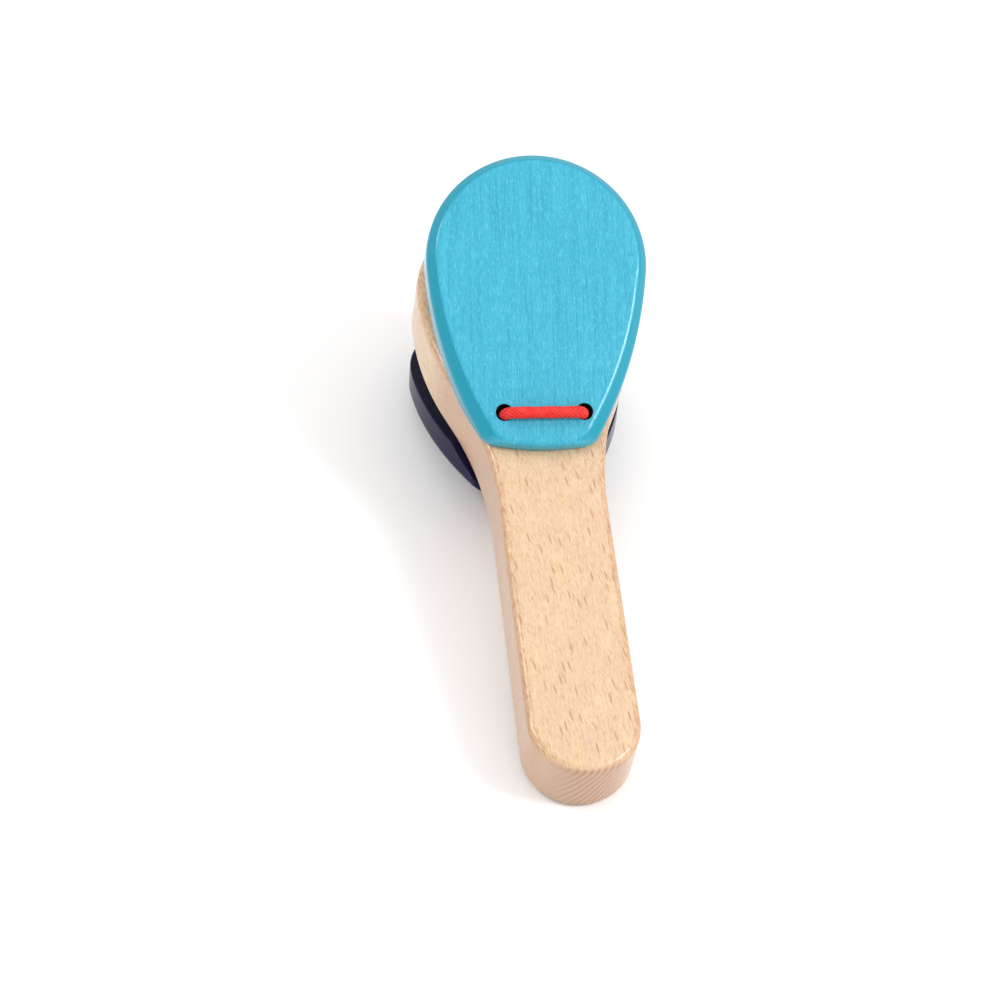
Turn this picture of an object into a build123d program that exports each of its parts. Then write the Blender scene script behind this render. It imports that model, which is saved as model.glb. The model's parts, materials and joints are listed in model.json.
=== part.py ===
from build123d import *
import math
import os

# Castanets on a stick: one solid beech paddle with a long grip, and a pear-shaped
# clapper on each side of its round head. One elastic cord runs through all three
# and holds both clappers sprung open on the bevel at their cord end.
#
# Design frame, before the object is laid down: x across the grip, y from the grip
# towards the head, z towards the front clapper. y = 0 is the centre of the round
# head and z = 0 the middle of the paddle's thickness. Everything is in mm.

# Paddle and grip
HEAD_RADIUS = 28.0
PADDLE_THICKNESS = 18.0
PADDLE_FLANK_RADIUS = 70.0
NECK_RADIUS = 86.0
GRIP_WIDTH = 27.2
GRIP_END_Y = -139.9
PADDLE_EDGE_ROUND = 2.0

# Clappers, drawn closed: z = 0 is the inner face, which claps on the paddle
CLAPPER_THICKNESS = 9.0
CLAPPER_WALL = 6.4
CLAPPER_END_Y = -48.8
CLAPPER_FLANK_RADIUS = 108.0
CLAPPER_SHOULDER = 4.85
CLAPPER_CORNER_RADIUS = 6.0
CLAPPER_END_RADIUS = 60.0
CLAPPER_EDGE_ROUND = 1.6
RIM_ROUND = 2.0
INNER_EDGE_ROUND = 0.4

# Flat outer face of a clapper, inside the bevel that runs round the rim
FACE_HEAD_RADIUS = 25.75
FACE_FLANK_RADIUS = 100.0
FACE_SHOULDER = 5.5
FACE_CORNER_RADIUS = 8.0
FACE_END_GAP = 0.3

# Shallow sound bowl in each inner face
BOWL_RADIUS = 17.0
BOWL_DEPTH = 2.5

# Rocking ridge and bevel at the cord end of each inner face
RIDGE_Y = -35.1
OPEN_ANGLE = 21.5
PAINT_GAP = 0.05

# The clappers sit a little askew on their cord
SKEW_ANGLE = -2.85
SKEW_SHIFT = -1.1

# Pair of cord holes, drilled a little off centre and out of square
HOLE_RADIUS = 2.0
HOLE_X = 10.05
HOLE_Y = -39.75
HOLE_SHIFT = 0.9
HOLE_TURN = 1.5
HOLE_MOUTH_ROUND = 0.4

# Cord, pulled against the inner side of its holes that is nearer to the grip
CORD_RADIUS = 1.45
CORD_BEND = 2.3
LEG_X = HOLE_X - 0.2
LEG_DROP = 0.45

# Reef knot on the back clapper, and the cord's two tails
KNOT_LENGTH = 13.0
KNOT_WIDTH = 7.6
KNOT_HEIGHT = 5.2
KNOT_ROUND = 2.0
TAIL_RADIUS = 1.3
TAIL_LENGTH = 9.5
TAIL_X = 4.5
TAIL_DROP = 1.3
TAIL_SPREAD = 40.0
TAIL_LIFT = 8.0

# Search for the tilt at rest
STEEPEST_TILT = 30.0
TILT_HALVINGS = 24

SAME_SIZE = 0.01
BIG = 200.0


def heading(start, end):
    """Direction in degrees from one point to another."""
    return math.degrees(math.atan2(end[1] - start[1], end[0] - start[0]))


def meeting_point(center_a, reach_a, center_b, reach_b):
    """Point on the +x side at the given distances from two centres."""
    gap = math.dist(center_a, center_b)
    along = (reach_a**2 - reach_b**2 + gap**2) / (2 * gap)
    aside = math.sqrt(reach_a**2 - along**2)
    step_x = (center_b[0] - center_a[0]) / gap
    step_y = (center_b[1] - center_a[1]) / gap
    base_x = center_a[0] + along * step_x
    base_y = center_a[1] + along * step_y
    first = (base_x + aside * step_y, base_y - aside * step_x)
    second = (base_x - aside * step_y, base_y + aside * step_x)
    return first if first[0] > second[0] else second


def mirrored_face(right_edges):
    """Flat face from the right half of its outline."""
    left_edges = [edge.mirror(Plane.YZ) for edge in right_edges]
    return make_face(right_edges + left_edges)


def paddle_outline():
    """Round head, egg-shaped flanks, long neck curves, straight grip, round end."""
    half = GRIP_WIDTH / 2
    flank = (HEAD_RADIUS - PADDLE_FLANK_RADIUS, 0)
    neck_x = half + NECK_RADIUS
    reach = PADDLE_FLANK_RADIUS + NECK_RADIUS
    neck_y = -math.sqrt(reach**2 - (neck_x - flank[0]) ** 2)
    turn = -heading(flank, (neck_x, neck_y))
    end_y = GRIP_END_Y + half
    return mirrored_face([
        CenterArc((0, 0), HEAD_RADIUS, 0, 90),
        CenterArc(flank, PADDLE_FLANK_RADIUS, -turn, turn),
        CenterArc((neck_x, neck_y), NECK_RADIUS, 180 - turn, turn),
        Line((half, neck_y), (half, end_y)),
        CenterArc((0, end_y), half, -90, 90),
    ])


def pear_outline(head_radius, flank_radius, shoulder, corner_radius, end_radius, end_y):
    """Round head, long convex flanks, small corners and a slightly bowed cord end."""
    lean = math.radians(shoulder)
    offset = head_radius - flank_radius
    flank = (offset * math.cos(lean), -offset * math.sin(lean))
    end = (0, end_y + end_radius)
    corner = meeting_point(flank, flank_radius - corner_radius, end, end_radius - corner_radius)
    flank_turn = heading(flank, corner)
    end_turn = heading(end, corner)
    return mirrored_face([
        CenterArc((0, 0), head_radius, -shoulder, 90 + shoulder),
        CenterArc(flank, flank_radius, flank_turn, -shoulder - flank_turn),
        CenterArc(corner, corner_radius, end_turn, flank_turn - end_turn),
        CenterArc(end, end_radius, -90, end_turn + 90),
    ])


def seat(shape):
    """Moves a closed clapper, or what rides on it, to its open place on the paddle."""
    askew = Pos(SKEW_SHIFT, RIDGE_Y, PADDLE_THICKNESS / 2 + PAINT_GAP) * Rot(Z=SKEW_ANGLE)
    return askew * Rot(X=OPEN_ANGLE) * Pos(0, -RIDGE_Y, 0) * shape


def below_bevel():
    """Block under the bevel plane, which runs from the ridge to the cord end."""
    corner = (Align.CENTER, Align.MAX, Align.MAX)
    return Pos(0, RIDGE_Y, 0) * Rot(X=-OPEN_ANGLE) * Box(BIG, BIG, BIG, align=corner)


def make_paddle():
    """Head, neck and grip in one board, with the two cord holes."""
    board = extrude(paddle_outline(), amount=PADDLE_THICKNESS / 2, both=True)
    rims = board.faces().sort_by(Axis.Z)[0].edges() + board.faces().sort_by(Axis.Z)[-1].edges()
    board = fillet(rims, PADDLE_EDGE_ROUND)
    hole = Cylinder(HOLE_RADIUS, BIG)
    return board - [under_clapper(side * HOLE_X, 0) * hole for side in (-1, 1)]


def drilling():
    """Frame of the hole pair in a closed clapper."""
    return Pos(HOLE_SHIFT, HOLE_Y, 0) * Rot(Z=HOLE_TURN)


def under_clapper(x, y):
    """Place in the paddle where an open clapper brings down a point of its drilling."""
    spot = (drilling() * Pos(x, y, 0)).position
    reach = (spot.Y - RIDGE_Y) / math.cos(math.radians(OPEN_ANGLE))
    return Pos(SKEW_SHIFT, RIDGE_Y, 0) * Rot(Z=SKEW_ANGLE) * Pos(spot.X, reach, 0)


def at_height(shape, height):
    """Edges of a shape that lie level at one height."""
    return shape.edges().filter_by_position(Axis.Z, height - SAME_SIZE, height + SAME_SIZE)


def make_clapper():
    """One clapper, closed: bevelled rim, sound bowl, rocking bevel and cord holes."""
    outline = pear_outline(HEAD_RADIUS, CLAPPER_FLANK_RADIUS, CLAPPER_SHOULDER,
                           CLAPPER_CORNER_RADIUS, CLAPPER_END_RADIUS, CLAPPER_END_Y)
    face = pear_outline(FACE_HEAD_RADIUS, FACE_FLANK_RADIUS, FACE_SHOULDER,
                        FACE_CORNER_RADIUS, CLAPPER_END_RADIUS, CLAPPER_END_Y + FACE_END_GAP)
    wall = extrude(outline, amount=CLAPPER_WALL)
    rim = loft([Pos(0, 0, CLAPPER_WALL) * outline, Pos(0, 0, CLAPPER_THICKNESS) * face], ruled=True)
    clapper = wall + rim
    clapper = fillet(at_height(clapper, CLAPPER_WALL), RIM_ROUND)
    clapper = fillet(at_height(clapper, CLAPPER_THICKNESS), CLAPPER_EDGE_ROUND)
    clapper = fillet(at_height(clapper, 0), INNER_EDGE_ROUND)
    ball_radius = (BOWL_RADIUS**2 + BOWL_DEPTH**2) / (2 * BOWL_DEPTH)
    clapper -= Pos(0, 0, BOWL_DEPTH - ball_radius) * Sphere(ball_radius)
    clapper -= below_bevel()
    for side in (-1, 1):
        clapper -= drilling() * Pos(side * HOLE_X, 0, 0) * Cylinder(HOLE_RADIUS, BIG)
    mouths = at_height(clapper, CLAPPER_THICKNESS).filter_by(GeomType.CIRCLE).filter_by(
        lambda edge: abs(edge.radius - HOLE_RADIUS) < SAME_SIZE)
    return fillet(mouths, HOLE_MOUTH_ROUND)


def cord_line():
    """Frame of the cord's strand over a closed clapper."""
    return drilling() * Pos(0, -LEG_DROP, 0)


def make_cord_loop(gap):
    """Cord over a closed clapper: a leg down each hole, and a strand with room for a knot."""
    top = CLAPPER_THICKNESS + CORD_RADIUS
    leg_top = top - CORD_BEND
    strand_x = LEG_X - CORD_BEND
    upright = Plane(origin=(0, 0, 0), x_dir=(1, 0, 0), z_dir=(0, -1, 0))
    path = upright * Wire([
        Line((-LEG_X, 0), (-LEG_X, leg_top)),
        CenterArc((-strand_x, leg_top), CORD_BEND, 180, -90),
        Line((-strand_x, top), (strand_x, top)),
        CenterArc((strand_x, leg_top), CORD_BEND, 90, -90),
        Line((LEG_X, leg_top), (LEG_X, 0)),
    ])
    loop = sweep(Pos(-LEG_X, 0, 0) * Circle(CORD_RADIUS), path)
    if gap:
        loop -= Box(gap, BIG, BIG)
    return cord_line() * loop - below_bevel()


def make_knot():
    """Knot lump on the strand, with the cord's two short tails leaving its ends."""
    lump = Box(KNOT_LENGTH, KNOT_WIDTH, KNOT_HEIGHT)
    lump = fillet(lump.edges(), KNOT_ROUND)
    tail = Cylinder(TAIL_RADIUS, TAIL_LENGTH, align=(Align.CENTER, Align.CENTER, Align.MIN))
    for side in (-1, 1):
        heading_out = Rot(Z=side * TAIL_SPREAD) * Rot(X=90 - TAIL_LIFT)
        lump += Pos(side * TAIL_X, -TAIL_DROP, 0) * heading_out * tail
    return cord_line() * Pos(0, 0, CLAPPER_THICKNESS + KNOT_HEIGHT / 2) * lump


def make_cord_leg(side):
    """Cord inside one of the paddle's holes."""
    height = PADDLE_THICKNESS + 2 * PAINT_GAP
    return under_clapper(side * LEG_X, -LEG_DROP) * Cylinder(CORD_RADIUS, height)


def flip(shape):
    """The same thing on the back of the paddle."""
    return shape.mirror(Plane.XY)


def lowest_point(shape, tilt):
    """Lowest z once the shape is tilted about x."""
    return (Rot(X=tilt) * shape).bounding_box().min.Z


def rest_tilt(paddle, back_clapper):
    """Tilt at which the grip's end and the back clapper's tip both touch a table."""
    low = 0.0
    high = STEEPEST_TILT
    for _ in range(TILT_HALVINGS):
        tilt = (low + high) / 2
        if lowest_point(back_clapper, tilt) < lowest_point(paddle, tilt):
            low = tilt
        else:
            high = tilt
    return (low + high) / 2


def make_parts():
    """Every node in the design frame."""
    clapper = make_clapper()
    return {
        "paddle_handle": make_paddle(),
        "front_clapper": seat(clapper),
        "back_clapper": flip(seat(clapper)),
        "cord_front_strand": seat(make_cord_loop(0)),
        "cord_back_strand": flip(seat(make_cord_loop(KNOT_LENGTH))),
        "cord_knot": flip(seat(make_knot())),
        "cord_leg_left": make_cord_leg(-1),
        "cord_leg_right": make_cord_leg(1),
    }


def resting_place(parts):
    """Lays the object down, with its origin under the middle of its bounding box."""
    tilt = rest_tilt(parts["paddle_handle"], parts["back_clapper"])
    laid = Compound(children=[Rot(X=tilt) * part for part in parts.values()])
    box = laid.bounding_box()
    return Pos(-box.center().X, -box.center().Y, -box.min.Z) * Rot(X=tilt)


def print_hinge(name, place, side):
    """Ridge line of one clapper in the object's own frame."""
    height = side * (PADDLE_THICKNESS / 2 + PAINT_GAP)
    ridge = place * Pos(SKEW_SHIFT, RIDGE_Y, height) * Rot(Z=SKEW_ANGLE)
    axis = Plane(ridge).x_dir
    print(name, "ridge", [round(v, 4) for v in ridge.position], "axis", [round(v, 6) for v in axis])


def main():
    parts = make_parts()
    place = resting_place(parts)
    os.makedirs("parts", exist_ok=True)
    for name, part in parts.items():
        export_step(place * part, f"parts/{name}.step")
    print_hinge("front_clapper", place, 1)
    print_hinge("back_clapper", place, -1)
    print("rest tilt", round(Plane(place).z_dir.get_angle(Vector(0, 0, 1)), 4))


main()
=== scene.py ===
import json
import math

import bpy
from mathutils import Matrix, Quaternion, Vector
from mathutils.geometry import interpolate_bezier


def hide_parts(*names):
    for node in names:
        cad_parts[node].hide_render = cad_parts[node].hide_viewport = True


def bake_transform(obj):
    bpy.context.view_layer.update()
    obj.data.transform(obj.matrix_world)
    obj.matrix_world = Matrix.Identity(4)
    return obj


# Castanets on a stick. The CAD model makes the paddle and both clappers, which keep
# their meshes and get their materials here. The elastic cord is made here as braided
# lengths, which meet inside the paddle's holes and are tied at the back.
#
# Shapes are in millimetres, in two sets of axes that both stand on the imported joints.
# In the board's, x runs across the grip, y from the grip to the head and z to the front.
# In a clapper's, y runs from its cord end to its head and z = 0 is its inner face.
MM = 0.001

# Places, as the CAD model has them
SKEW_SHIFT = -1.1
RIDGE_Y = -35.1
OPEN_ANGLE = 21.5
CLAPPER_THICKNESS = 9.0
CORD_END_Y = -48.8
HOLE_RADIUS = 2.0
HOLE_X = 10.05
HOLE_Y = -39.75
HOLE_SHIFT = 0.9
HOLE_TURN = 1.5
LEG_X = 9.85
LEG_DROP = 0.45
KNOT_HEIGHT = 5.2

# Heights of the cord's points: above the board's middle, and above a clapper's inner face
BOARD_HEIGHTS = (0, 4, 8)
CLAPPER_HEIGHTS = (4.2, 7.4)

# How far each end of the cord rises or dips from the knot's middle: where the two ends
# cross, and on the way in and out
CROSSING_RISE = 1.3
ENTRY_RISE = 0.45

# Cord and the braid on it: its relief runs from 0 in the gaps to 1 on top of a yarn
FRONT_CORD_RADIUS = 1.45
BACK_CORD_RADIUS = 1.35
YARNS = 9
BRAID_PITCH = 1.0
BRAID_HEIGHT = 0.12
BRAID_MIDDLE = 0.7
YARN_ROUNDING = 0.6
YARN_DIP = 0.4
AROUND = 48
ALONG = 0.17
END_ROUND = 0.9
END_TIP = 0.002
SWELL = 0.025
SWELL_LENGTH = 6.5
CURVE_STEPS = 24

# Spindle marks: the part of their width that is full, and how gradually they fade out
FLECK_CORE = 0.45
FLECK_FADE = 0.4

# Beech: 8-bit colours, growth rings and ray flecks
BEECH_YELLOW = (211, 181, 145)
BEECH_PINK = (209, 176, 148)
BEECH_PALE = (220, 194, 160)
BEECH_TAN = (190, 154, 114)
BEECH_SIDE = (191, 156, 129)
BEECH_END = (186, 153, 129)
BEECH_EDGE = (180, 130, 80)
BEECH_DARK = (162, 118, 86)
BEECH_FLECK = (160, 118, 76)
RING_SLANT = math.radians(60)
RING_WIDTH = 1.5
RING_DRIFT = 0.8
RING_RIPPLE = 0.25
RING_START = -8
RING_FULL = -2
FLECK_TURN = 9
PINK_SIDE_BELOW = -30
PINK_SIDE_FADE = 14

# Paints: 8-bit colours of the face, its pale and deep grain, and the rim, whose colour is painted light:
# painted shade on the teal rim, a painted reflection of the pale surroundings on the navy one
TEAL = (58, 163, 188)
TEAL_PALE = (97, 189, 211)
TEAL_DEEP = (38, 144, 171)
TEAL_RIM_SHADE = (10, 138, 160)
TEAL_GLOSS = 0.32
NAVY = (10, 9, 38)
NAVY_PALE = (26, 24, 56)
NAVY_DEEP = (6, 5, 28)
NAVY_RIM_REFLECTION = (40, 38, 66)
NAVY_GLOSS = 0.05
# Painted shade inside the cord holes, near black
HOLE_SHADE = (14, 10, 12)

# Masks on a painted clapper, in millimetres: how far past a hole's wall the painted shade
# reaches, and how far from the cord end the rim keeps the look of the face, without the rim's painted
# light
HOLE_SHADE_FULL = 0.05
HOLE_SHADE_END = 0.25
CORD_END_FULL = 1.5
CORD_END_FADE = 3.5

# Elastic cord: 8-bit colours; the gap colour is painted shade between the yarns
CORD_RED = (226, 44, 40)
CORD_PALE = (238, 98, 86)
CORD_GAP_SHADE = (122, 6, 12)
SHEEN_RED = (255, 150, 130)

# Stage: metres, 8-bit greys, and for each square light its place, side and watts
FLOOR_SIZE = 8.0
FLOOR_LOW = (243, 243, 243)
FLOOR_HIGH = (246, 246, 246)
WORLD_STRENGTH = 1.0
LIGHTS = {
    "key": ((0.62, -0.32, 0.74), 0.3, 5.1),
    "left_box": ((-0.66, 0.18, 0.74), 0.26, 2.3),
}
LIGHT_AIM = (0, 0, 0.03)

# Camera: places in millimetres, angles in degrees, and the lens's focal length in millimetres
LOOK_AT = (-6.98, 20.21, 0.57)
VIEW_DISTANCE = 736.5
VIEW_AZIMUTH = -11.909
VIEW_ELEVATION = 45.222
VIEW_ROLL = 6.68
LENS = 101.44


# ---- places ------------------------------------------------------------------------

def joint_named(name):
    """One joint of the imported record."""
    return next(joint for joint in frame["joints"] if joint["name"] == name)


def ridge_point(joint):
    """The point that a joint turns about, in metres."""
    return Vector(joint_named(joint)["pos_m"])


def ridge_direction():
    """Direction of both ridges, from left to right."""
    return -Vector(joint_named("front_clap")["axis"]).normalized()


def board_normal():
    """Direction from the back ridge to the front one, square to the board."""
    return (ridge_point("front_clap") - ridge_point("back_clap")).normalized()


def board_middle():
    """Point halfway between the ridges."""
    return (ridge_point("front_clap") + ridge_point("back_clap")) / 2


def place_from(x_axis, y_axis, z_axis, origin):
    """Matrix that takes millimetres along three axes to the frame's metres."""
    place = Matrix((x_axis * MM, y_axis * MM, z_axis * MM)).transposed().to_4x4()
    place.translation = origin
    return place


def board_place():
    """Axes of the paddle."""
    across = Vector((1, 0, 0))
    along = board_normal().cross(across)
    origin = board_middle() - (across * SKEW_SHIFT + along * RIDGE_Y) * MM
    return place_from(across, along, board_normal(), origin)


def clapper_place(joint, side):
    """Axes of a clapper, open on its bevel: side is 1 in front and -1 at the back."""
    flat = board_normal().cross(ridge_direction())
    outward = board_normal() * side
    lean = math.radians(OPEN_ANGLE)
    along = flat * math.cos(lean) + outward * math.sin(lean)
    up = outward * math.cos(lean) - flat * math.sin(lean)
    return place_from(ridge_direction(), along, up, ridge_point(joint) - along * RIDGE_Y * MM)


def drilling():
    """Frame of the hole pair in a clapper."""
    turn = Matrix.Rotation(math.radians(HOLE_TURN), 4, "Z")
    return Matrix.Translation((HOLE_SHIFT, HOLE_Y, 0)) @ turn


def leg_in_board(side, height):
    """Point on one leg of the cord where it passes through the board."""
    spot = drilling() @ Vector((side * LEG_X, -LEG_DROP, 0))
    reach = (spot.y - RIDGE_Y) / math.cos(math.radians(OPEN_ANGLE))
    flat = board_normal().cross(ridge_direction())
    step = ridge_direction() * spot.x + flat * reach + board_normal() * height
    return board_middle() + step * MM


# ---- cord --------------------------------------------------------------------------

def smooth_curve(points):
    """Closely spaced points on a smooth curve through the given ones."""
    before = [points[0] * 2 - points[1]] + points[:-1]
    after = points[1:] + [points[-1] * 2 - points[-2]]
    path = [points[0]]
    for index in range(len(points) - 1):
        start, end = points[index], points[index + 1]
        leaving = (end - before[index]) / 6
        arriving = (after[index + 1] - start) / 6
        path += interpolate_bezier(start, start + leaving, end - arriving, end, CURVE_STEPS)[1:]
    return path


def evenly_spaced(path, step):
    """The same path with its points a step apart."""
    spaced = [path[0]]
    carried = 0.0
    for start, end in zip(path, path[1:]):
        length = (end - start).length
        while carried + length >= step:
            start = start.lerp(end, (step - carried) / length)
            length = (end - start).length
            carried = 0.0
            spaced.append(start)
        carried += length
    return spaced


def carried_frames(path):
    """Direction and side of the cord at each point, carried along without twist."""
    steps = [(end - start).normalized() for start, end in zip(path, path[1:])]
    steps.append(steps[-1])
    side = steps[0].orthogonal().normalized()
    frames = []
    last = steps[0]
    for step in steps:
        side = last.rotation_difference(step) @ side
        frames.append((step, side))
        last = step
    return frames


def braid_relief(turn, reach):
    """Height of the braid, from 0 between its yarns to 1 on top of one."""
    one_way = YARNS * turn + reach / BRAID_PITCH
    other_way = YARNS * turn - reach / BRAID_PITCH
    on_top, below = one_way, other_way
    if (math.floor(one_way) + math.floor(other_way)) % 2:
        on_top, below = other_way, one_way
    rounding = math.sin(math.pi * (on_top % 1)) ** YARN_ROUNDING
    return rounding * (1 - YARN_DIP + YARN_DIP * math.sin(math.pi * (below % 1)))


def add_tube(path, radius, vertices, faces, reliefs):
    """Adds a braided tube with rounded ends to the lists of a mesh."""
    path = evenly_spaced(path, ALONG * MM)
    first = len(vertices)
    total = (len(path) - 1) * ALONG
    for index, (point, (step, side)) in enumerate(zip(path, carried_frames(path))):
        reach = index * ALONG
        to_end = min(reach, total - reach, END_ROUND) / END_ROUND
        closing = math.sqrt(max(1 - (1 - to_end) ** 2, END_TIP))
        swell = 1 + SWELL * math.sin(2 * math.pi * reach / SWELL_LENGTH)
        for corner in range(AROUND):
            turn = corner / AROUND
            relief = braid_relief(turn, reach)
            ray = Quaternion(step, 2 * math.pi * turn) @ side
            out = (radius * swell + BRAID_HEIGHT * (relief - BRAID_MIDDLE)) * closing
            vertices.append(point + ray * out * MM)
            reliefs.append(relief * closing)
    faces += tube_faces(first, len(path))


def tube_faces(first, rings):
    """Faces between the rings of a tube, and one on each end."""
    faces = []
    for low in range(first, first + (rings - 1) * AROUND, AROUND):
        for corner in range(AROUND):
            after = (corner + 1) % AROUND
            faces.append((low + corner, low + after, low + AROUND + after, low + AROUND + corner))
    last = first + (rings - 1) * AROUND
    faces.append(tuple(reversed(range(first, first + AROUND))))
    faces.append(tuple(range(last, last + AROUND)))
    return faces


def cord_object(name, paths, radius, material):
    """Mesh of one or more lengths of cord, with the braid's height kept for its material."""
    vertices, faces, reliefs = [], [], []
    for path in paths:
        add_tube(path, radius, vertices, faces, reliefs)
    mesh = bpy.data.meshes.new(name)
    mesh.from_pydata(vertices, [], faces)
    mesh.attributes.new("braid", "FLOAT", "POINT").data.foreach_set("value", reliefs)
    mesh.shade_smooth()
    mesh.materials.append(material)
    cord = bpy.data.objects.new(name, mesh)
    bpy.context.scene.collection.objects.link(cord)
    return cord


def leg_points(side, face, place):
    """Cord from the middle of the board up into a clapper's hole."""
    board = [leg_in_board(side, face * height) for height in BOARD_HEIGHTS]
    return board + [place @ Vector((side * LEG_X, -LEG_DROP, z)) for z in CLAPPER_HEIGHTS]


def make_front_cord(material):
    """Strand across the front clapper, and its two legs down into the board."""
    place = clapper_place("front_clap", 1) @ drilling()
    top = CLAPPER_THICKNESS + FRONT_CORD_RADIUS
    half_strand = [(9.3, top - 0.75), (7.9, top), (4, top)]
    left, right = [
        leg_points(side, 1, place) + [place @ Vector((side * x, -LEG_DROP, z)) for x, z in half_strand]
        for side in (-1, 1)
    ]
    path = smooth_curve(left + [place @ Vector((0, -LEG_DROP, top))] + right[::-1])
    cord = cord_object("cord_front", [path], FRONT_CORD_RADIUS, material)
    turn_over(cord)
    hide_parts("cord_front_strand")


def knot_points(side):
    """One end of the cord from a hole's mouth through the reef knot to the tip of its tail.

    The two ends are half a turn apart about y, so one dips where the other rises.
    """
    mouth = (9.3, 0.1, -1.9)
    entry = [(7.8, 0.4, -0.85), (6.4, 1.1, 0)]
    bight = [
        (4.9, 1.4, 1), (2.4, 1.3, 0), (0, 2.5, -1), (-2.4, 3.7, 0), (-4.3, 2.5, 0.95),
        (-5.0, 0, 1), (-4.3, -2.5, 0.95), (-2.4, -3.7, 0), (0, -2.5, -1), (2.4, -1.3, 0),
        (4.9, -1.4, 1),
    ]
    tail = [(7.0, -2.5, -0.3), (8.7, -4.7, -0.4), (9.7, -7.3, 0.3)]
    rise = side * CROSSING_RISE
    swing = side * ENTRY_RISE
    route = [mouth] + [(x, y, z + swing) for x, y, z in entry]
    route += [(x, y, z * rise) for x, y, z in bight]
    route += [(x, y, z + swing) for x, y, z in tail[:1]]
    route += tail[1:]
    lift = CLAPPER_THICKNESS + KNOT_HEIGHT / 2
    return [Vector((side * x, y - LEG_DROP, z + lift)) for x, y, z in route]


def make_back_cord(material):
    """Both ends of the cord, from inside the board to a reef knot on the back clapper."""
    place = clapper_place("back_clap", -1) @ drilling()
    paths = []
    for side in (-1, 1):
        tied = [place @ point for point in knot_points(side)]
        paths.append(smooth_curve(leg_points(side, -1, place) + tied))
    cord = cord_object("cord_back", paths, BACK_CORD_RADIUS, material)
    turn_over(cord)
    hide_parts("cord_back_strand", "cord_knot", "cord_leg_left", "cord_leg_right")


def turn_over(cord):
    """Bakes the cord's placement into its mesh."""
    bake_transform(cord)


# ---- materials ---------------------------------------------------------------------

def srgb(colour):
    """Linear colour from an 8-bit one."""
    def linear(value):
        value /= 255
        return value / 12.92 if value <= 0.04045 else ((value + 0.055) / 1.055) ** 2.4
    return tuple(linear(value) for value in colour) + (1.0,)


def pick(sockets, name):
    """The socket in use with that name, or at that place."""
    if isinstance(name, int):
        return sockets[name]
    return next(socket for socket in sockets if socket.name == name and socket.enabled)


def feed(tree, node, inputs):
    """Sets or links inputs of a node."""
    for name, value in inputs.items():
        socket = pick(node.inputs, name)
        if isinstance(value, bpy.types.NodeSocket):
            tree.links.new(value, socket)
        else:
            socket.default_value = value


def add(tree, kind, inputs=None, **settings):
    """Adds a node with its settings, and with its inputs set or linked."""
    node = tree.nodes.new(kind)
    for name, value in settings.items():
        setattr(node, name, value)
    feed(tree, node, inputs or {})
    return node


def calc(tree, operation, *terms):
    """Result of a maths node."""
    return add(tree, "ShaderNodeMath", dict(enumerate(terms)), operation=operation).outputs[0]


def new_material(name, values):
    """An empty material, its tree and its shader, with values that are the same all over."""
    material = bpy.data.materials.new(name)
    material.use_nodes = True
    shader = material.node_tree.nodes["Principled BSDF"]
    feed(material.node_tree, shader, values)
    return material, material.node_tree, shader


def axes_of(tree, place):
    """Position on the object in the millimetres of a place."""
    hand = math.copysign(1, place.determinant())
    turn = place.to_3x3().normalized()
    turn.col[2] *= hand
    return add(tree, "ShaderNodeMapping", {
        "Vector": add(tree, "ShaderNodeTexCoord").outputs["Object"],
        "Location": place.translation,
        "Rotation": turn.to_euler(),
        "Scale": (MM, MM, MM * hand),
    }, vector_type="TEXTURE").outputs[0]


def stretched(tree, coordinates, sizes, turn=0.0):
    """Coordinates turned about z and divided by the size of a pattern along each axis."""
    return add(tree, "ShaderNodeMapping", {
        "Vector": coordinates, "Rotation": (0, 0, math.radians(turn)), "Scale": sizes,
    }, vector_type="TEXTURE").outputs[0]


def noise(tree, coordinates, sizes, detail=2.0, roughness=0.5, turn=0.0):
    """Noise from 0 to 1 with patches of the given sizes in millimetres."""
    return add(tree, "ShaderNodeTexNoise", {
        "Vector": stretched(tree, coordinates, sizes, turn),
        "Scale": 1.0, "Detail": detail, "Roughness": roughness,
    }).outputs["Fac"]


def between(tree, value, low, high):
    """0 up to the low value and 1 from the high one, smooth between, in either order."""
    return add(tree, "ShaderNodeMapRange", {
        "Value": value, "From Min": low, "From Max": high,
    }, interpolation_type="SMOOTHSTEP").outputs[0]


def both(tree, first, second):
    """1 only where two masks are 1."""
    return calc(tree, "MULTIPLY", first, second)


def flecks(tree, coordinates, sizes, width, share, turn=0.0):
    """Scattered spindle marks in the plane of x and y, 1 inside one, at a share of their places."""
    cells = add(tree, "ShaderNodeTexVoronoi", {
        "Vector": stretched(tree, coordinates, sizes + (1,), turn), "Scale": 1.0,
    }, voronoi_dimensions="2D")
    draw = add(tree, "ShaderNodeSeparateColor", {"Color": cells.outputs["Color"]})
    mark = between(tree, cells.outputs["Distance"], width, width * FLECK_CORE)
    kept = between(tree, draw.outputs["Red"], 1 - share, 1 - share + FLECK_FADE)
    return both(tree, mark, kept)


def mixed(tree, amount, first, second):
    """Mix of two colours, each a socket or an 8-bit colour."""
    first, second = [srgb(tone) if isinstance(tone, tuple) else tone for tone in (first, second)]
    return add(tree, "ShaderNodeMix", {
        "Factor": amount, "A": first, "B": second,
    }, data_type="RGBA").outputs[2]


def tinted(tree, colour, tint, mask, strength):
    """A colour with some of a tint laid over it where a mask is 1."""
    return mixed(tree, calc(tree, "MULTIPLY", mask, strength), colour, tint)


def layered(tree, colour, layers):
    """A colour with tints laid over it in turn, each with its mask and strength."""
    for tint, mask, strength in layers:
        colour = tinted(tree, colour, tint, mask, strength)
    return colour


def facing(tree, direction):
    """How far the surface faces along a direction, either way."""
    normal = add(tree, "ShaderNodeTexCoord").outputs["Normal"]
    dot = add(tree, "ShaderNodeVectorMath", {0: normal, 1: direction}, operation="DOT_PRODUCT")
    return calc(tree, "ABSOLUTE", dot.outputs["Value"])


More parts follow.
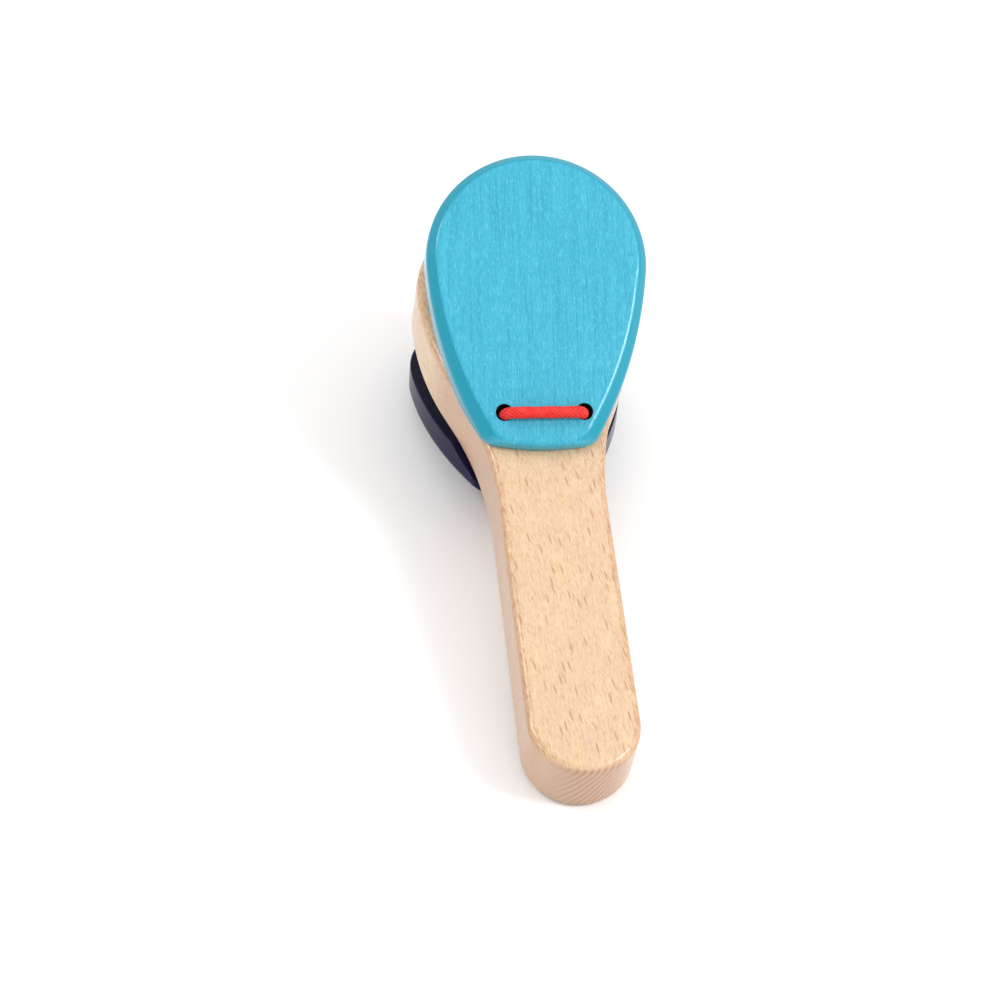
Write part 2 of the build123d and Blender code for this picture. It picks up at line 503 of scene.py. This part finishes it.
def bump(tree, shader, height, distance, strength):
    """Relief of the given depth in millimetres on a shader."""
    relief = add(tree, "ShaderNodeBump", {
        "Height": height, "Distance": distance * MM, "Strength": strength,
    })
    tree.links.new(relief.outputs[0], shader.inputs["Normal"])


def year_rings(tree, spot):
    """Late wood of slanted growth rings, as thin lines of 1."""
    axes = add(tree, "ShaderNodeSeparateXYZ", {"Vector": spot})
    across = calc(tree, "MULTIPLY", axes.outputs["X"], math.sin(RING_SLANT))
    down = calc(tree, "MULTIPLY", axes.outputs["Z"], math.cos(RING_SLANT))
    wavy = calc(tree, "SUBTRACT", across, down)
    wavy = calc(tree, "MULTIPLY_ADD", noise(tree, spot, (9, 90, 9)), RING_DRIFT, wavy)
    wavy = calc(tree, "MULTIPLY_ADD", noise(tree, spot, (1.6, 16, 1.6)), RING_RIPPLE, wavy)
    year = calc(tree, "FRACT", calc(tree, "DIVIDE", wavy, RING_WIDTH))
    return both(tree, between(tree, year, 0.35, 0.9), between(tree, year, 1.0, 0.93))


def beech_grain(tree, spot):
    """Colour of plain beech: broad zones, patches and short strokes."""
    broad = noise(tree, spot, (3.2, 40, 4), detail=3)
    patch = noise(tree, spot, (3.4, 7, 4), detail=3, turn=FLECK_TURN)
    strokes = noise(tree, spot, (0.5, 1.6, 1.0), detail=3, roughness=0.65, turn=FLECK_TURN)
    colour = mixed(tree, between(tree, broad, 0.3, 0.7), BEECH_YELLOW, BEECH_PINK)
    return layered(tree, colour, [
        (BEECH_PALE, between(tree, patch, 0.5, 0.72), 0.6),
        (BEECH_PINK, between(tree, patch, 0.48, 0.3), 0.7),
        (BEECH_TAN, between(tree, strokes, 0.5, 0.68), 0.6),
        (BEECH_PALE, between(tree, strokes, 0.48, 0.34), 0.5),
    ])


def ray_flecks(tree, spot):
    """Dark spindles on the face where the wood's rays end: long ones, and fainter short ones."""
    long_rays = flecks(tree, spot, (1.7, 11), 0.18, 0.75, turn=FLECK_TURN)
    short_rays = flecks(tree, spot, (1.0, 5.5), 0.2, 0.6, turn=FLECK_TURN + 4)
    return calc(tree, "MAXIMUM", long_rays, calc(tree, "MULTIPLY", short_rays, 0.6))


def edge_layers(tree, spot, across, along, upward):
    """Darker wood on the rounded long edges: a light tint, and dashes on it."""
    rounded = both(tree, between(tree, across, 0.04, 0.25), between(tree, upward, 0.05, 0.4))
    on_edge = both(tree, rounded, between(tree, along, 0.75, 0.4))
    dashes = noise(tree, spot, (0.4, 2.4, 0.4), detail=3, roughness=0.7, turn=FLECK_TURN)
    dashed = both(tree, on_edge, between(tree, dashes, 0.5, 0.58))
    return [(BEECH_EDGE, on_edge, 0.12), (BEECH_EDGE, dashed, 0.8)]


def beech(place):
    """Bare beech under thin lacquer: ray flecks on its face, growth rings at its end."""
    material, tree, shader = new_material("beech", {"Specular IOR Level": 0.5})
    spot = axes_of(tree, place)
    axes = add(tree, "ShaderNodeSeparateXYZ", {"Vector": spot})
    across, along, upward = [facing(tree, column.normalized()) for column in place.to_3x3().col]
    on_face = between(tree, upward, 0.5, 0.9)
    on_grip = between(tree, axes.outputs["Y"], PINK_SIDE_BELOW + PINK_SIDE_FADE, PINK_SIDE_BELOW)
    at_side = both(tree, between(tree, across, 0.5, 0.9), on_grip)
    at_end = between(tree, along, 0.5, 0.85)
    ringed = both(tree, at_end, between(tree, axes.outputs["X"], RING_START, RING_FULL))

    fibre = noise(tree, spot, (0.32, 5, 0.5), detail=4, roughness=0.65)
    pores = both(tree, flecks(tree, spot, (0.5, 2.6), 0.2, 0.75, turn=FLECK_TURN), on_face)
    rays = both(tree, ray_flecks(tree, spot), on_face)

    colour = mixed(tree, at_side, beech_grain(tree, spot), BEECH_SIDE)
    colour = mixed(tree, at_end, colour, BEECH_END)
    colour = layered(tree, colour, edge_layers(tree, spot, across, along, upward) + [
        (BEECH_DARK, year_rings(tree, spot), calc(tree, "MULTIPLY_ADD", ringed, 0.85, 0.05)),
        (BEECH_DARK, between(tree, fibre, 0.42, 0.75), 0.3),
        (BEECH_FLECK, pores, 0.22),
        (BEECH_FLECK, rays, 0.66),
    ])

    flat = between(tree, upward, 0.95, 0.99)
    roughness = calc(tree, "MULTIPLY_ADD", fibre, 0.12, calc(tree, "MULTIPLY_ADD", flat, 0.2, 0.17))
    relief = calc(tree, "SUBTRACT", calc(tree, "MULTIPLY", fibre, 0.5), calc(tree, "ADD", rays, pores))
    feed(tree, shader, {"Base Color": colour, "Roughness": roughness})
    bump(tree, shader, relief, distance=0.03, strength=0.5)
    return material


def hair_grain(tree, spot):
    """Patterns of the wood's grain under stain paint, each from 0 to 1."""
    return {
        "streaks": noise(tree, spot, (1.3, 20, 2.0), detail=3, roughness=0.55),
        "lines": noise(tree, spot, (0.55, 26, 1.0), detail=2, roughness=0.6, turn=1),
        "hairs": noise(tree, spot, (0.26, 2.4, 0.6), detail=3, roughness=0.65, turn=2),
        "wisps": noise(tree, spot, (0.34, 1.1, 0.5), detail=2, roughness=0.6, turn=-6),
        "pores": flecks(tree, spot, (0.6, 4.4), 0.17, 0.75, turn=2),
        "nibs": flecks(tree, spot, (0.9, 1.8), 0.13, 0.5, turn=-8),
    }


def painted_grain(tree, grain, colour, pale, deep):
    """Colour of stain paint over the grain."""
    streaked = mixed(tree, between(tree, grain["streaks"], 0.3, 0.7), deep, colour)
    return layered(tree, mixed(tree, 0.5, streaked, colour), [
        (deep, between(tree, grain["lines"], 0.54, 0.64), 0.8),
        (pale, between(tree, grain["hairs"], 0.54, 0.68), 0.6),
        (deep, between(tree, grain["hairs"], 0.46, 0.34), 0.7),
        (pale, between(tree, grain["wisps"], 0.56, 0.72), 0.5),
        (deep, grain["pores"], 0.7),
        (pale, grain["nibs"], 0.7),
    ])


def grain_relief(tree, grain):
    """Height of the grain: hairs, wisps and nibs stand up, and lines and pores are grooves."""
    relief = grain["hairs"]
    for pattern, share in (("lines", -1.6), ("wisps", 0.5), ("nibs", 0.5), ("pores", -1.0)):
        relief = calc(tree, "MULTIPLY_ADD", grain[pattern], share, relief)
    return relief


def paint(name, place, gloss, colour, pale, deep, rim_lit_colour):
    """Stain paint on beech: the wood's hair grain shows on the face, and the rim is smooth, in a colour
    with painted light: painted shade on the teal rim, a painted reflection on the navy one.
    """
    material, tree, shader = new_material(name, {"Specular IOR Level": gloss})
    spot = axes_of(tree, place)
    axes = add(tree, "ShaderNodeSeparateXYZ", {"Vector": spot})
    grain = hair_grain(tree, spot)
    upward = facing(tree, place.to_3x3().col[2].normalized())
    at_cord_end = between(tree, axes.outputs["Y"], CORD_END_Y + CORD_END_FADE, CORD_END_Y + CORD_END_FULL)
    on_face = calc(tree, "MAXIMUM", between(tree, upward, 0.8, 0.98), at_cord_end)
    flat = between(tree, upward, 0.965, 0.995)

    # Rim colour with painted light: painted shade on the teal clapper, a painted reflection on the navy
    # one
    lit_rim_tone = mixed(tree, calc(tree, "MULTIPLY", grain["streaks"], 0.4), rim_lit_colour, deep)
    tone = mixed(tree, on_face, lit_rim_tone, painted_grain(tree, grain, colour, pale, deep))
    # Painted shade on the walls of the cord holes
    tone = mixed(tree, in_hole_shade(tree, spot), tone, HOLE_SHADE)

    relief = calc(tree, "MULTIPLY", grain_relief(tree, grain), calc(tree, "MULTIPLY_ADD", flat, 0.9, 0.1))
    roughness = calc(tree, "MULTIPLY_ADD", flat, 0.22, 0.17)
    feed(tree, shader, {"Base Color": tone, "Roughness": roughness})
    bump(tree, shader, relief, distance=0.05, strength=0.7)
    return material


def in_hole_shade(tree, spot):
    """1 on the walls of a clapper's two cord holes, where their shade is painted in near black, 0
    elsewhere.
    """
    flat = add(tree, "ShaderNodeVectorMath", {0: spot, 1: (1, 1, 0)}, operation="MULTIPLY")
    masks = []
    for side in (-1, 1):
        center = drilling() @ Vector((side * HOLE_X, 0, 0))
        away = add(tree, "ShaderNodeVectorMath", {
            0: flat.outputs[0], 1: (center.x, center.y, 0),
        }, operation="DISTANCE").outputs["Value"]
        masks.append(between(tree, away, HOLE_RADIUS + HOLE_SHADE_END, HOLE_RADIUS + HOLE_SHADE_FULL))
    return calc(tree, "MAXIMUM", *masks)


def elastic():
    """Red woven cover of the elastic cord: painted shade between its yarns, paler on top of them."""
    material, tree, shader = new_material("red_elastic", {
        "Roughness": 0.72, "Specular IOR Level": 0.3,
        "Sheen Weight": 0.06, "Sheen Roughness": 0.4, "Sheen Tint": srgb(SHEEN_RED),
    })
    height = add(tree, "ShaderNodeAttribute", attribute_name="braid").outputs["Fac"]
    spot = add(tree, "ShaderNodeTexCoord").outputs["Object"]
    fuzz = add(tree, "ShaderNodeTexNoise", {
        "Vector": spot, "Scale": 4200.0, "Detail": 3.0, "Roughness": 0.7,
    }).outputs["Fac"]
    worn = add(tree, "ShaderNodeTexNoise", {
        "Vector": spot, "Scale": 420.0, "Detail": 2.0,
    }).outputs["Fac"]
    # Painted shade in the gaps between the yarns, following the braid's height
    colour = mixed(tree, between(tree, height, 0.1, 0.75), CORD_GAP_SHADE, CORD_RED)
    colour = layered(tree, colour, [
        (CORD_PALE, between(tree, worn, 0.45, 0.7), 0.18),
        (CORD_PALE, between(tree, fuzz, 0.55, 0.8), 0.4),
    ])
    feed(tree, shader, {"Base Color": colour})
    bump(tree, shader, fuzz, distance=0.03, strength=0.7)
    return material


def floor_finish():
    """Plain pale floor."""
    material, tree, shader = new_material("floor", {"Roughness": 0.85, "Specular IOR Level": 0.2})
    spot = add(tree, "ShaderNodeTexCoord").outputs["Object"]
    grain = add(tree, "ShaderNodeTexNoise", {"Vector": spot, "Scale": 60.0, "Detail": 3.0})
    feed(tree, shader, {"Base Color": mixed(tree, grain.outputs["Fac"], FLOOR_LOW, FLOOR_HIGH)})
    return material


# ---- stage -------------------------------------------------------------------------

def make_camera():
    """Camera at the product picture's angle."""
    around = math.radians(VIEW_AZIMUTH)
    height = math.radians(VIEW_ELEVATION)
    level = Vector((math.sin(around), -math.cos(around), 0))
    back = level * math.cos(height) + Vector((0, 0, math.sin(height)))
    data = bpy.data.cameras.new("camera")
    data.lens = LENS
    camera = bpy.data.objects.new("camera", data)
    bpy.context.scene.collection.objects.link(camera)
    camera.rotation_mode = "QUATERNION"
    roll = Quaternion((0, 0, 1), math.radians(VIEW_ROLL))
    camera.rotation_quaternion = back.to_track_quat("Z", "Y") @ roll
    camera.location = (Vector(LOOK_AT) + back * VIEW_DISTANCE) * MM
    bpy.context.scene.camera = camera


def make_light(name, place, side, power):
    """One square softbox aimed at the object."""
    data = bpy.data.lights.new(name, "AREA")
    data.shape = "SQUARE"
    data.size = side
    data.energy = power
    light = bpy.data.objects.new(name, data)
    bpy.context.scene.collection.objects.link(light)
    light.location = place
    light.rotation_mode = "QUATERNION"
    light.rotation_quaternion = (Vector(place) - Vector(LIGHT_AIM)).to_track_quat("Z", "Y")


def make_floor():
    """Square pale floor under the object."""
    half = FLOOR_SIZE / 2
    mesh = bpy.data.meshes.new("floor")
    corners = [(-half, -half, 0), (half, -half, 0), (half, half, 0), (-half, half, 0)]
    mesh.from_pydata(corners, [], [(0, 1, 2, 3)])
    mesh.materials.append(floor_finish())
    floor = bpy.data.objects.new("floor", mesh)
    bpy.context.scene.collection.objects.link(floor)


def make_surroundings():
    """Even white light from all round, with colours shown as they are."""
    world = bpy.data.worlds.new("surroundings")
    world.use_nodes = True
    background = world.node_tree.nodes["Background"]
    background.inputs["Color"].default_value = (1.0, 1.0, 1.0, 1.0)
    background.inputs["Strength"].default_value = WORLD_STRENGTH
    bpy.context.scene.world = world
    bpy.context.scene.view_settings.view_transform = "Standard"


# ---- the object --------------------------------------------------------------------

def give_finish(node, material):
    """Puts a material on a CAD node."""
    slots = frame["nodes"][node].data.materials
    slots.clear()
    slots.append(material)


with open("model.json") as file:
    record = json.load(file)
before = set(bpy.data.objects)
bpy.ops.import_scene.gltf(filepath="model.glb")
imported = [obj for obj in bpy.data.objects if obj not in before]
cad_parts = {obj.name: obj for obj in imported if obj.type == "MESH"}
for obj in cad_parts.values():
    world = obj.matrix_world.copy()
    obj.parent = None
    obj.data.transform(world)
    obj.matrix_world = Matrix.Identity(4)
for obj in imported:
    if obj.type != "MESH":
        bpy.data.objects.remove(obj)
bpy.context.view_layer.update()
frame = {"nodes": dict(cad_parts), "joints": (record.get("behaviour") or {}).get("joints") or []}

make_camera()
make_floor()
make_surroundings()
for name, (place, side, power) in LIGHTS.items():
    make_light(name, place, side, power)
give_finish("paddle_handle", beech(board_place()))
front = clapper_place("front_clap", 1)
back = clapper_place("back_clap", -1)
teal = paint("teal_paint", front, TEAL_GLOSS, TEAL, TEAL_PALE, TEAL_DEEP, TEAL_RIM_SHADE)
navy = paint("navy_paint", back, NAVY_GLOSS, NAVY, NAVY_PALE, NAVY_DEEP, NAVY_RIM_REFLECTION)
give_finish("front_clapper", teal)
give_finish("back_clapper", navy)
red = elastic()
make_front_cord(red)
make_back_cord(red)
